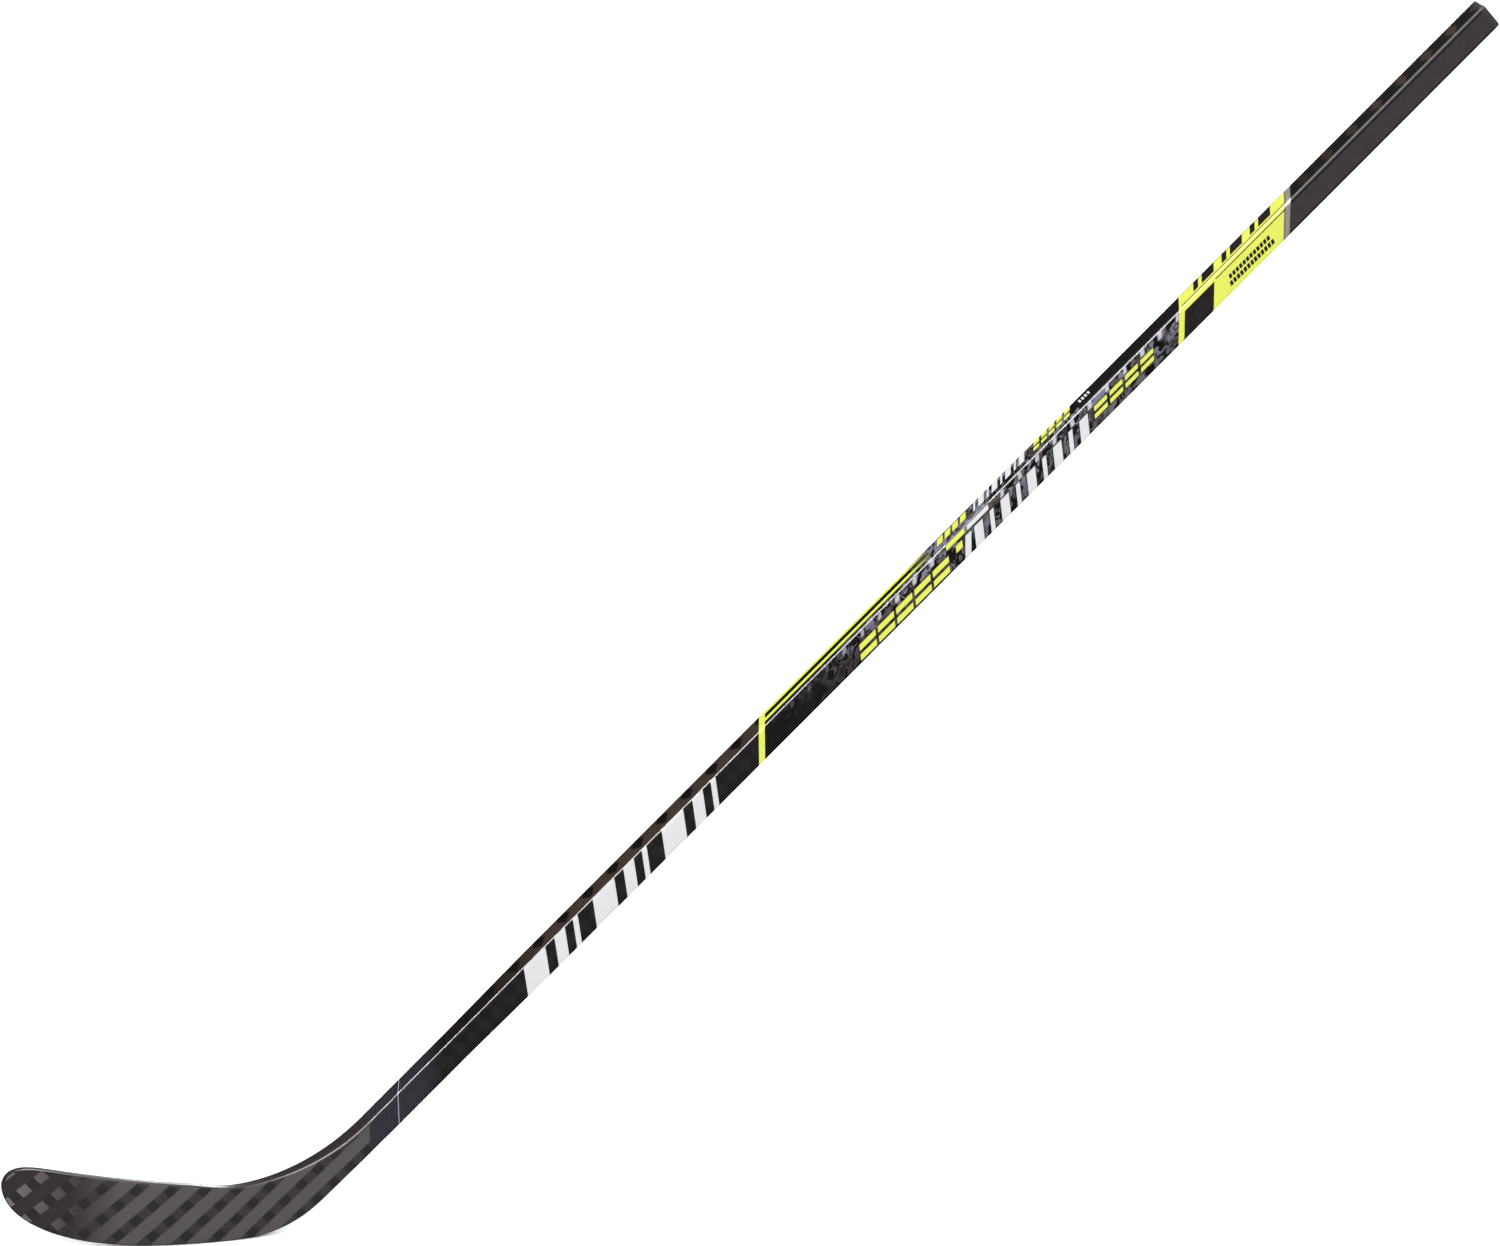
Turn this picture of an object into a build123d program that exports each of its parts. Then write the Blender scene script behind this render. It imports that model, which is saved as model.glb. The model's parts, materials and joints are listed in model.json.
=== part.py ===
from build123d import *
import os
from math import cos, radians, sin, sqrt, tan

os.makedirs("parts", exist_ok=True)

# ---- Overall sizes, mm -------------------------------------------------------
STICK_LENGTH = 1524.0  # butt end to heel, down the back edge of the shaft
LIE_ANGLE = 45.0  # shaft above the ice, a lie of 5
GRIP_FROM_BUTT = 60.0  # middle of the top hand, where the part's origin sits
BLADE_LENGTH = 252.0  # heel to toe tip, along the ice

# ---- Shaft -------------------------------------------------------------------
SHAFT_WIDTH = 28.0  # bare tube, across a wide face
SHAFT_DEPTH = 18.5  # bare tube, across a narrow face
SHAFT_CORNER = 4.0
LEAST_CORNER = 0.5  # inside corners never get sharper than this
SHAFT_WALL = 1.7
LOWER_WIDTH = 26.5  # below the taper
LOWER_DEPTH = 17.0
TAPER_ABOVE_HEEL = 324.0  # where the taper starts
TAPER_LENGTH = 100.0
JOINT_ABOVE_HEEL = 124.0  # shaft end, where it meets the hosel

# ---- Butt plug ---------------------------------------------------------------
PLUG_CAP = 5.0
PLUG_CAP_ROUND = 2.0
PLUG_SPIGOT = 38.0
PLUG_WALL = 2.4
GLUE_GAP = 0.3  # all round, between a bonded spigot or tenon and its socket

# ---- Tenon that joins the blade to the shaft ---------------------------------
TENON_IN_SHAFT = 60.0
ROOT_IN_HOSEL = 45.0
ROOT_WIDTH = 15.0
ROOT_DEPTH = 8.5
ROOT_CORNER = 2.0

# ---- Printed wraps on the shaft, each cut on a slant at both ends ------------
FILM = 0.25
BAND_SLOPE = 0.8  # drop along the shaft per mm across a wide face
BAND_EDGE_SLOPE = 0.6  # the same per mm across a narrow face
WRAP_STARTS = {
    "silver_band": 266.0,
    "upper_wrap": 274.0,
    "midshaft_wrap": 406.0,
    "lower_band": 926.5,
    "lower_wrap": 934.0,
}
JOINT_WRAP_ABOVE_HEEL = 130.0

# ---- Blade outline -----------------------------------------------------------
HEEL_RADIUS = 102.0
HOSEL_RADIUS = 171.0  # front edge, where the shaft sweeps into the blade's top
BLADE_HEIGHT = 53.9  # at the heel end of the straight top edge
TOP_RISE = 0.13  # climb of the top edge per mm towards the toe
TOE_TIP_HEIGHT = 55.5
TOE_BOTTOM_START = 84.5  # where the bottom edge begins to lift
TOE_BOTTOM_POWER = 3.35
TOE_TOP_START = 191.0
TOE_TOP_POWER = 5.0

# ---- Blade section -----------------------------------------------------------
HEEL_THICKNESS = 9.0
TOE_THICKNESS = 5.0
BLADE_CORNER = 2.2
TOE_OFFSET = 50.0  # how far the curve carries the toe off the shaft's plane
CURVE_START = 30.0
SKIN = 1.1
RAIL = 3.2  # depth of the solid carbon edge round the blade
RIB = 3.0
CORE_HEEL = 0.6  # share of the hosel bend that belongs to the hosel core
BEND_STATIONS = 8
BLADE_STATIONS = (0.16, 0.32, 0.48, 0.62, 0.74, 0.84, 0.91, 0.955, 0.98, 0.993, 0.9985)
RAIL_STATIONS = 8  # how many of the blade stations the core reaches
OVERRUN = 8.0  # how far a cutting body runs past what it cuts

# ---- Directions in the part's frame ------------------------------------------
lie = radians(LIE_ANGLE)
UP_SHAFT = Vector(cos(lie), 0, sin(lie))  # towards the butt
BACK = Vector(sin(lie), 0, -cos(lie))  # towards the back edge
FAR = Vector(0, 1, 0)  # towards the forehand side
TOEWARD = Vector(-1, 0, 0)
UP = Vector(0, 0, 1)

joint = STICK_LENGTH - JOINT_ABOVE_HEEL
taper_start = STICK_LENGTH - TAPER_ABOVE_HEEL
taper_end = taper_start + TAPER_LENGTH


# ---- Shaft helpers -----------------------------------------------------------
def on_shaft(station, back=0.0, far=0.0):
    """Point a given distance down from the butt end, off the shaft's axis."""
    return UP_SHAFT * (GRIP_FROM_BUTT - station) + BACK * back + FAR * far


def taper(station, upper, lower):
    """Size that changes from its upper to its lower value along the taper."""
    share = min(max((station - taper_start) / TAPER_LENGTH, 0.0), 1.0)
    return upper + (lower - upper) * share


def bar(start, end, grow=0.0):
    """Solid with the shaft's own outline, made larger or smaller all round."""
    stops = [start, *(s for s in (taper_start, taper_end) if start < s < end), end]
    sections = []
    for stop in stops:
        plane = Plane(origin=on_shaft(stop), x_dir=BACK, z_dir=UP_SHAFT)
        width = taper(stop, SHAFT_WIDTH, LOWER_WIDTH) + 2 * grow
        depth = taper(stop, SHAFT_DEPTH, LOWER_DEPTH) + 2 * grow
        corner = max(SHAFT_CORNER + grow, LEAST_CORNER)
        sections.append(plane * RectangleRounded(width, depth, corner))
    return loft(sections, ruled=True)


def slant(station):
    """Plane of a slanted wrap end that starts at the back edge of the near face."""
    near_back = on_shaft(station, SHAFT_WIDTH / 2, -SHAFT_DEPTH / 2)
    across_face = UP_SHAFT * BAND_SLOPE - BACK
    across_edge = UP_SHAFT * BAND_EDGE_SLOPE + FAR
    return Plane(origin=near_back, x_dir=across_face, z_dir=across_edge.cross(across_face))


def wrap(start, end, square_start=False, square_end=False):
    """Thin printed sleeve on the shaft between two slanted or square ends."""
    reach = SHAFT_WIDTH * BAND_SLOPE + SHAFT_DEPTH * BAND_EDGE_SLOPE + OVERRUN
    first = start if square_start else start - reach
    last = end if square_end else min(end + reach, joint)
    sleeve = bar(first, last, FILM) - bar(first, last)
    if not square_start:
        sleeve = split(sleeve, bisect_by=slant(start), keep=Keep.BOTTOM)
    if not square_end:
        sleeve = split(sleeve, bisect_by=slant(end), keep=Keep.TOP)
    return sleeve


# ---- Shaft parts -------------------------------------------------------------
def shaft_tube():
    return bar(PLUG_CAP, joint) - bar(PLUG_CAP, joint, -SHAFT_WALL)


def butt_plug():
    cap = bar(0, PLUG_CAP, FILM)
    end_face = cap.faces().sort_by(Axis(on_shaft(0), UP_SHAFT))[-1]
    cap = fillet(end_face.edges(), PLUG_CAP_ROUND)
    socket = SHAFT_WALL + GLUE_GAP
    spigot = bar(PLUG_CAP, PLUG_CAP + PLUG_SPIGOT, -socket)
    hollow = bar(PLUG_CAP, PLUG_CAP + PLUG_SPIGOT, -socket - PLUG_WALL)
    return cap + (spigot - hollow)


def butt_plug_glue():
    start, end = PLUG_CAP, PLUG_CAP + PLUG_SPIGOT
    return bar(start, end, -SHAFT_WALL) - bar(start, end, -SHAFT_WALL - GLUE_GAP)


def root(grow=0.0):
    """Lower part of the tenon, which the hosel core is moulded round."""
    plane = Plane(origin=on_shaft(joint), x_dir=BACK, z_dir=-UP_SHAFT)
    outline = RectangleRounded(ROOT_WIDTH + grow, ROOT_DEPTH + grow, ROOT_CORNER + grow / 2)
    return extrude(plane * outline, ROOT_IN_HOSEL + grow)


def tenon():
    upper = bar(joint - TENON_IN_SHAFT, joint, -SHAFT_WALL - GLUE_GAP)
    return upper + root()


def tenon_glue():
    start = joint - TENON_IN_SHAFT
    return bar(start, joint, -SHAFT_WALL) - bar(start, joint, -SHAFT_WALL - GLUE_GAP)


def shaft_wraps():
    """Every printed wrap by name, from the grip coat down to the joint wrap."""
    names = ["grip_coat", *WRAP_STARTS, "joint_wrap"]
    starts = [PLUG_CAP, *WRAP_STARTS.values(), STICK_LENGTH - JOINT_WRAP_ABOVE_HEEL]
    ends = [*starts[1:], joint]
    wraps = {}
    for name, start, end in zip(names, starts, ends):
        wraps[name] = wrap(start, end, name == "grip_coat", name == "joint_wrap")
    return wraps


# ---- Blade stations ----------------------------------------------------------
# Points on the outline are (along, up): distance towards the toe from the heel,
# and height above the ice.
joint_width = LOWER_WIDTH + 2 * FILM
joint_depth = LOWER_DEPTH + 2 * FILM
heel = on_shaft(STICK_LENGTH, LOWER_WIDTH / 2)
back_joint = Vector(-cos(lie), sin(lie)) * JOINT_ABOVE_HEEL - Vector(sin(lie), cos(lie)) * FILM
front_joint = back_joint + Vector(sin(lie), cos(lie)) * joint_width
heel_tangent = HEEL_RADIUS * tan(lie / 2)
hosel_tangent = HOSEL_RADIUS * tan(lie / 2)
front_corner = front_joint.X + (front_joint.Y - BLADE_HEIGHT) / tan(lie)
top_start = front_corner + hosel_tangent


def bend(start, centre, radius, share):
    """Point at a share of the way down a straight run and the arc that follows it."""
    arc_start = centre + Vector(-sin(lie), -cos(lie)) * radius
    run = (arc_start - start).length
    arc = radius * lie
    travelled = share * (run + arc)
    if travelled <= run:
        return start + (arc_start - start) * (travelled / run)
    angle = lie - (travelled - run) / radius
    return centre + Vector(-sin(angle), -cos(angle)) * radius


def toe_round(along, start, power):
    """Share of the way to the tip height, from 0 at the start to 1 at the tip."""
    share = min(max((along - start) / (BLADE_LENGTH - start), 0.0), 1.0)
    return 1 - sqrt(1 - share**power)


def bottom_height(along):
    return TOE_TIP_HEIGHT * toe_round(along, TOE_BOTTOM_START, TOE_BOTTOM_POWER)


def top_height(along):
    line = BLADE_HEIGHT + TOP_RISE * (along - top_start)
    return line - (line - TOE_TIP_HEIGHT) * toe_round(along, TOE_TOP_START, TOE_TOP_POWER)


def stations():
    """Bottom point, top point, thickness and corner radius, from hosel to toe."""
    rows = []
    back_centre = Vector(heel_tangent, HEEL_RADIUS)
    front_centre = Vector(top_start, BLADE_HEIGHT + HOSEL_RADIUS)
    for index in range(BEND_STATIONS + 1):
        share = index / BEND_STATIONS
        ease = share * share * (3 - 2 * share)
        low = bend(back_joint, back_centre, HEEL_RADIUS, share)
        high = bend(front_joint, front_centre, HOSEL_RADIUS, share)
        thickness = joint_depth + (HEEL_THICKNESS - joint_depth) * ease
        corner = SHAFT_CORNER + FILM + (BLADE_CORNER - SHAFT_CORNER - FILM) * ease
        rows.append((low, high, thickness, corner))
    first = max(heel_tangent, top_start)
    for share in BLADE_STATIONS:
        along = first + (BLADE_LENGTH - first) * share
        low = Vector(along, bottom_height(along))
        high = Vector(along, top_height(along))
        thickness = HEEL_THICKNESS + (TOE_THICKNESS - HEEL_THICKNESS) * share
        corner = min(BLADE_CORNER, 0.4 * thickness, 0.4 * (high - low).length)
        rows.append((low, high, thickness, corner))
    return rows


def side_curve(along):
    """Offset of the blade's middle surface towards the forehand side."""
    share = max(along - CURVE_START, 0.0) / (BLADE_LENGTH - CURVE_START)
    return TOE_OFFSET * share * share


def in_part(point, far=0.0):
    """Outline point carried into the part's frame."""
    return heel + TOEWARD * point.X + UP * point.Y + FAR * far


def blade_loft(low_in=0.0, high_in=0.0, side_in=0.0, count=None, from_middle=None):
    """Blade solid with its edges and sides moved in, or out where negative.

    from_middle sets the low edge at that distance above the blade's middle line.
    """
    rows = stations()[:count]
    cutter = low_in or high_in or side_in or from_middle is not None
    sections = []
    for index, (low, high, thickness, corner) in enumerate(rows):
        across = (high - low).normalized()
        middle = (low + high) * 0.5
        start = low + across * low_in
        if from_middle is not None:
            start = middle + across * from_middle
        end = high - across * high_in
        centre = (start + end) * 0.5
        origin = in_part(centre, side_curve(middle.X))
        if index == 0 and cutter:
            origin += UP_SHAFT * OVERRUN
        height = (end - start).length
        depth = thickness - 2 * side_in
        radius = min(max(corner - side_in, LEAST_CORNER), 0.4 * depth, 0.4 * height)
        x_dir = TOEWARD * across.X + UP * across.Y
        plane = Plane(origin=origin, x_dir=x_dir, z_dir=x_dir.cross(FAR))
        sections.append(plane * RectangleRounded(height, depth, radius))
    return loft(sections)


def blade_parts():
    """Skins, edge rails, foam cores, rib and hosel core, cut from shared bodies."""
    core_count = BEND_STATIONS + 1 + RAIL_STATIONS
    body = blade_loft()
    inside_rail = blade_loft(RAIL, RAIL, -OVERRUN, core_count)
    between_skins = blade_loft(-OVERRUN, -OVERRUN, SKIN, core_count + 1)
    above_rib = blade_loft(0, -OVERRUN, -OVERRUN, from_middle=RIB / 2)
    above_rib_low = blade_loft(0, -OVERRUN, -OVERRUN, from_middle=-RIB / 2)
    parts = {}
    rail = body - inside_rail
    parts["top_rail"] = rail & above_rib
    parts["bottom_rail"] = rail - above_rib
    plate = body & inside_rail
    skins = (plate - between_skins).solids().sort_by(Axis.Y)
    parts["backhand_skin"] = skins[0]
    parts["forehand_skin"] = skins[-1]
    filling = plate & between_skins
    low, high = stations()[int(CORE_HEEL * BEND_STATIONS)][:2]
    along = (TOEWARD * (high.X - low.X) + UP * (high.Y - low.Y)).normalized()
    heel_cut = Plane(origin=in_part(low), x_dir=along, z_dir=FAR.cross(along))
    hosel = split(filling, bisect_by=heel_cut, keep=Keep.TOP)
    blade = split(filling, bisect_by=heel_cut, keep=Keep.BOTTOM)
    parts["hosel_core"] = hosel - root()
    parts["upper_core"] = blade & above_rib
    parts["core_rib"] = (blade & above_rib_low) - above_rib
    parts["lower_core"] = blade - above_rib_low
    return parts


parts = {
    "shaft_tube": shaft_tube(),
    "butt_plug": butt_plug(),
    "butt_plug_glue": butt_plug_glue(),
    "tenon": tenon(),
    "tenon_glue": tenon_glue(),
    **shaft_wraps(),
    **blade_parts(),
}
for name, shape in parts.items():
    export_step(shape, f"parts/{name}.step")
    print(name, len(shape.solids()), round(shape.volume))
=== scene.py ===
import json
import math

import bmesh
import bpy
from mathutils import Matrix, Vector


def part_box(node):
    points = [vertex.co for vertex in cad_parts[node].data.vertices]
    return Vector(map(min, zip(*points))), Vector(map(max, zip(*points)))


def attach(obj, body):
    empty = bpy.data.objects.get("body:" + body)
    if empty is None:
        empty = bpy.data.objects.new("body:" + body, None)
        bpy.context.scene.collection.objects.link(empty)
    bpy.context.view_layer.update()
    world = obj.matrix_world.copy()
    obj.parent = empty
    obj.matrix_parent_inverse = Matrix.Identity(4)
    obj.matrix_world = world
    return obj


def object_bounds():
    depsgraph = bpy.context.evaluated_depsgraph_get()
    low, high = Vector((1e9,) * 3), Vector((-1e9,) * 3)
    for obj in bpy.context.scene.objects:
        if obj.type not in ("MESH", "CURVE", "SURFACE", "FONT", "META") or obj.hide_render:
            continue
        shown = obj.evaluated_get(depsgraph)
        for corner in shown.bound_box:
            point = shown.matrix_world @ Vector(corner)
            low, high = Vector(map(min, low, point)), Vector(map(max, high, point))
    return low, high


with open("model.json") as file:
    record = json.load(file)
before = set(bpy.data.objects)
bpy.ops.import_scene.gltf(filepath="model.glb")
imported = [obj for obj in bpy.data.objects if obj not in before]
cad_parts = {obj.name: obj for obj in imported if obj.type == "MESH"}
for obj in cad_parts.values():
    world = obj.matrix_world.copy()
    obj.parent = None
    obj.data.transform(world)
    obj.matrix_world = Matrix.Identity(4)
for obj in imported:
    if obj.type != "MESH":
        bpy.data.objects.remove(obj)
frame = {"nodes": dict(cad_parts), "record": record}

# ---- Where the stick is, all in metres and read from the frame ------------------
CAD_BOX = [list(corner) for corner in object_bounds()]
BOX_MIDDLE = (Vector(CAD_BOX[0]) + Vector(CAD_BOX[1])) / 2
MOUNTS = {mount["name"]: mount for mount in frame["record"]["mounts"]}
BUTT = Vector(MOUNTS["butt_end"]["pos_m"])
UP_SHAFT = Vector(MOUNTS["butt_end"]["axis"]).normalized()
FAR = Vector((0.0, 1.0, 0.0))
FRONT = UP_SHAFT.cross(FAR)
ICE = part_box("bottom_rail")[0].z

# ---- Printed section of the shaft -----------------------------------------------
FILM_WIDTH = 0.0285
FILM_DEPTH = 0.019
FILM_CORNER = 0.00425
TAPER_START = 1.2
TAPER_LENGTH = 0.1
TAPER_DROP = 0.00075  # how much nearer the axis each face is below the taper
LOWER_WIDTH = 0.0265  # outside width of a wide face below the taper
FACE_SLANT = 0.8  # how far a wrap's end runs up the shaft for each unit across a wide face
EDGE_SLANT = 0.6  # the same across a narrow face
MARK_SLANT = 0.62  # the same for the printed marks
CORNER_START = FILM_WIDTH / 2 - FILM_CORNER  # where the flat of a wide face ends


def reach(node):
    """Least and greatest distance of a node's points from the butt, down the shaft."""
    distances = [(BUTT - v.co).dot(UP_SHAFT) for v in frame["nodes"][node].data.vertices]
    return min(distances), max(distances)


SILVER_START = reach("grip_coat")[1]
UPPER_START = reach("silver_band")[1]
CAMO_START = reach("upper_wrap")[1]
LOWER_START = reach("lower_band")[1]
BACK_EDGE = BUTT - FRONT * LOWER_WIDTH / 2
HEEL = BACK_EDGE - UP_SHAFT * (BACK_EDGE.z - ICE) / UP_SHAFT.z


def rgb(red, green, blue):
    """Linear colour from the 0 to 255 numbers of a display."""
    parts = []
    for part in (red, green, blue):
        share = part / 255
        parts.append(share / 12.92 if share <= 0.04045 else ((share + 0.055) / 1.055) ** 2.4)
    return (*parts, 1.0)


# ---- Short ways to build node trees ---------------------------------------------
class Nodes:
    """A node tree in the making. Values given to its nodes are numbers or other nodes' outputs."""

    def __init__(self, tree):
        self.tree = tree

    def put(self, socket, value):
        if isinstance(value, bpy.types.NodeSocket):
            self.tree.links.new(value, socket)
        else:
            socket.default_value = value

    def node(self, kind, inputs=None, **settings):
        made = self.tree.nodes.new(kind)
        for name, value in settings.items():
            setattr(made, name, value)
        for key, value in (inputs or {}).items():
            self.put(made.inputs[key], value)
        return made

    def math(self, operation, *values, clamp=False):
        made = self.node("ShaderNodeMath", operation=operation, use_clamp=clamp)
        for socket, value in zip(made.inputs, values):
            self.put(socket, value)
        return made.outputs[0]

    def plus(self, first, second):
        return self.math("ADD", first, second)

    def minus(self, first, second):
        return self.math("SUBTRACT", first, second)

    def times(self, first, second):
        return self.math("MULTIPLY", first, second)

    def above(self, value, edge, soft=0.0004):
        """0 below the edge and 1 above it, changing over a soft width."""
        low, high = self.shifted(edge, -soft / 2), self.shifted(edge, soft / 2)
        ends = {"Value": value, "From Min": low, "From Max": high}
        return self.node("ShaderNodeMapRange", ends, interpolation_type="SMOOTHSTEP").outputs[0]

    def shifted(self, value, step):
        """The value plus a step, by a node only where the value is one."""
        if isinstance(value, bpy.types.NodeSocket):
            return self.plus(value, step)
        return value + step

    def below(self, value, edge, soft=0.0004):
        return self.minus(1.0, self.above(value, edge, soft))

    def between(self, value, low, high, soft=0.0004):
        return self.times(self.above(value, low, soft), self.below(value, high, soft))

    def ranged(self, value, low, high, to_low, to_high):
        """Straight change from one pair of ends to another, held at the ends."""
        ends = {"Value": value, "From Min": low, "From Max": high, "To Min": to_low, "To Max": to_high}
        return self.node("ShaderNodeMapRange", ends).outputs[0]


class Finish(Nodes):
    """A surface finish in the making, on a material of its own."""

    def __init__(self, name, roughness=0.4, specular=0.5, metallic=0.0):
        self.material = bpy.data.materials.new(name)
        self.material.use_nodes = True
        super().__init__(self.material.node_tree)
        self.surface = self.tree.nodes["Principled BSDF"]
        self.surface.inputs["Roughness"].default_value = roughness
        self.surface.inputs["Specular IOR Level"].default_value = specular
        self.surface.inputs["Metallic"].default_value = metallic
        self.point = self.node("ShaderNodeTexCoord").outputs["Object"]

    def dot(self, direction):
        """Distance of the point along a direction."""
        made = self.node("ShaderNodeVectorMath", operation="DOT_PRODUCT")
        self.put(made.inputs[0], self.point)
        made.inputs[1].default_value = direction
        return made.outputs["Value"]

    def from_butt(self):
        """Distance down the shaft from the butt end."""
        return self.minus(BUTT.dot(UP_SHAFT), self.dot(UP_SHAFT))

    def across_face(self):
        """Distance from the shaft's axis across a wide face, positive towards the front edge."""
        return self.dot(FRONT)

    def across_edge(self):
        """Distance from the shaft's axis across a narrow face, positive on the far side."""
        return self.dot(FAR)

    def on_edge(self):
        """1 on the two narrow faces and 0 on the wide ones."""
        height = self.math("ABSOLUTE", self.across_face())
        depth = self.math("ABSOLUTE", self.across_edge())
        return self.above(self.minus(height, depth), (FILM_WIDTH - FILM_DEPTH) / 2, 0.001)

    def mix(self, share, low, high):
        made = self.node("ShaderNodeMix", data_type="RGBA")
        for place, value in ((0, share), (6, low), (7, high)):
            self.put(made.inputs[place], value)
        return made.outputs[2]

    def moved(self, along, across=1.0, through=1.0):
        """Point whose first axis runs down the shaft, each axis scaled on its own."""
        parts = {
            "X": self.times(self.from_butt(), along),
            "Y": self.times(self.across_face(), across),
            "Z": self.times(self.across_edge(), through),
        }
        return self.node("ShaderNodeCombineXYZ", parts).outputs[0]

    def shifted_place(self, place, step):
        """The place moved by the same step on each axis, for a second pattern unlike the first."""
        made = self.node("ShaderNodeVectorMath", operation="ADD")
        self.put(made.inputs[0], place)
        made.inputs[1].default_value = (step, step, step)
        return made.outputs[0]

    def noise(self, size, detail=2.0, roughness=0.5, distortion=0.0, place=None):
        """Even noise from 0 to 1 whose patches are about that size."""
        inputs = {
            "Vector": self.point if place is None else place,
            "Scale": 1.0 / size,
            "Detail": detail,
            "Roughness": roughness,
            "Distortion": distortion,
        }
        return self.node("ShaderNodeTexNoise", inputs).outputs[0]

    def steps(self, value, stops):
        """Colours along a value, from (place, colour) stops."""
        made = self.node("ShaderNodeValToRGB", {"Fac": value})
        elements = made.color_ramp.elements
        while len(elements) < len(stops):
            elements.new(1.0)
        for element, (place, colour) in zip(elements, stops):
            element.position = place
            element.color = colour
        return made.outputs[0]

    def diamonds(self, along, across, pitch, radius, centre=0.0, first=0.0, soft=0.0008):
        """1 inside a row of diamonds down the shaft."""
        beside = self.math("PINGPONG", self.minus(along, first), pitch / 2)
        over = self.math("ABSOLUTE", self.minus(across, centre))
        return self.below(self.plus(beside, over), radius, soft)

    def bump(self, height, distance, strength=1.0, under=None):
        inputs = {"Height": height, "Distance": distance, "Strength": strength}
        if under is not None:
            inputs["Normal"] = under
        return self.node("ShaderNodeBump", inputs).outputs[0]

    def done(self, colour, roughness=None, normal=None):
        """Joins the colour, roughness and normal to the surface and gives the material."""
        self.put(self.surface.inputs["Base Color"], colour)
        if roughness is not None:
            self.put(self.surface.inputs["Roughness"], roughness)
        if normal is not None:
            self.put(self.surface.inputs["Normal"], normal)
        return self.material


# ---- Finishes of the shaft --------------------------------------------------------
TOW = 0.011  # width of one carbon tow; at 45 degrees the squares repeat every TOW * 2 * sqrt(2)
WEAVE_PITCH = TOW * 2 * math.sqrt(2)


def tow_threads(finish):
    """Fine threads that run down the shaft, from 0 to 1."""
    return finish.noise(0.0012, 3.0, 0.6, place=finish.moved(0.06))


def wide_weave(finish):
    """Checks of the carbon weave on the wide faces, 0 or 1 with soft edges."""
    along, across = finish.from_butt(), finish.across_face()
    rising = finish.math("SINE", finish.times(finish.plus(along, across), math.pi * 2 / WEAVE_PITCH))
    falling = finish.math("SINE", finish.times(finish.minus(along, across), math.pi * 2 / WEAVE_PITCH))
    return finish.above(finish.times(rising, falling), 0.0, 0.3)


def corner_wave(finish, distance):
    """Slight waves left in the lacquer over the tows, which break the shine at the corners."""
    waves = finish.noise(0.012, 1.0, 0.4, place=finish.moved(0.7))
    return finish.bump(waves, distance)


GRIP_PATCH = 0.0072  # half height of a brown patch on the grip's narrow faces
GRIP_FADE = (0.12, 0.25)  # where the patches fade, down the shaft


def grip_coating():
    finish = Finish("grip_coating_matt", roughness=0.36, specular=0.3)
    mottle = finish.noise(0.009, 3.0, 0.6)
    face = finish.mix(mottle, rgb(40, 36, 38), rgb(52, 47, 49))
    threads = tow_threads(finish)
    dark = finish.mix(threads, rgb(13, 11, 11), rgb(26, 23, 23))
    brown = finish.mix(threads, rgb(40, 29, 22), rgb(64, 50, 42))
    along = finish.from_butt()
    patches = finish.diamonds(
        along, finish.across_edge(), WEAVE_PITCH, GRIP_PATCH, centre=-0.0005, first=0.005, soft=0.004
    )
    fading = finish.ranged(along, *GRIP_FADE, 0.9, 0.15)
    edge = finish.mix(finish.times(patches, fading), dark, brown)
    height = finish.math("ABSOLUTE", finish.across_face())
    colour = finish.mix(finish.above(height, CORNER_START + 0.0004, 0.0012), face, edge)
    stipple = finish.noise(0.0007, 2.0, 0.7)
    rough = finish.ranged(mottle, 0.3, 0.7, 0.32, 0.42)
    normal = finish.bump(stipple, 0.00004, 0.5, under=corner_wave(finish, 0.00012))
    return finish.done(colour, rough, normal)


def plug_plastic():
    finish = Finish("plug_plastic_moulded", roughness=0.5, specular=0.3)
    mottle = finish.noise(0.006, 3.0, 0.6)
    colour = finish.mix(mottle, rgb(38, 35, 36), rgb(56, 51, 53))
    return finish.done(colour, None, finish.bump(finish.noise(0.0005, 2.0, 0.7), 0.00005, 0.6))


def silver_print():
    finish = Finish("silver_print_film", roughness=0.32, metallic=0.55)
    start = finish.minus(SILVER_START, slant_drop(finish))
    share = finish.times(finish.minus(finish.from_butt(), start), 1 / (UPPER_START - SILVER_START))
    brushed = finish.noise(0.0009, 2.0, 0.6, place=finish.moved(1.0, 0.1, 0.1))
    stops = [
        (0.0, rgb(96, 92, 87)),
        (0.12, rgb(160, 152, 143)),
        (0.85, rgb(172, 163, 152)),
        (1.0, rgb(138, 131, 117)),
    ]
    colour = finish.steps(share, stops)
    colour = finish.mix(finish.times(brushed, 0.35), colour, rgb(146, 139, 131))
    return finish.done(colour, finish.ranged(brushed, 0.3, 0.7, 0.26, 0.42))


def slant_drop(finish):
    """How far up the shaft a slanted wrap end has run at this point, from the near back edge."""
    over = finish.times(finish.plus(finish.across_face(), FILM_WIDTH / 2), FACE_SLANT)
    through = finish.times(finish.plus(finish.across_edge(), FILM_DEPTH / 2), EDGE_SLANT)
    return finish.plus(over, through)


YELLOW = rgb(182, 188, 74)
YELLOW_WORN = rgb(176, 182, 71)


def yellow_print():
    finish = Finish("yellow_print_film", roughness=0.3, specular=0.35)
    mottle = finish.noise(0.02, 3.0, 0.5)
    flecks = finish.noise(0.0006, 2.0, 0.6)
    colour = finish.mix(mottle, YELLOW_WORN, YELLOW)
    rough = finish.ranged(mottle, 0.3, 0.7, 0.26, 0.36)
    return finish.done(colour, rough, finish.bump(flecks, 0.00001, 0.5, under=corner_wave(finish, 0.00006)))


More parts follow.
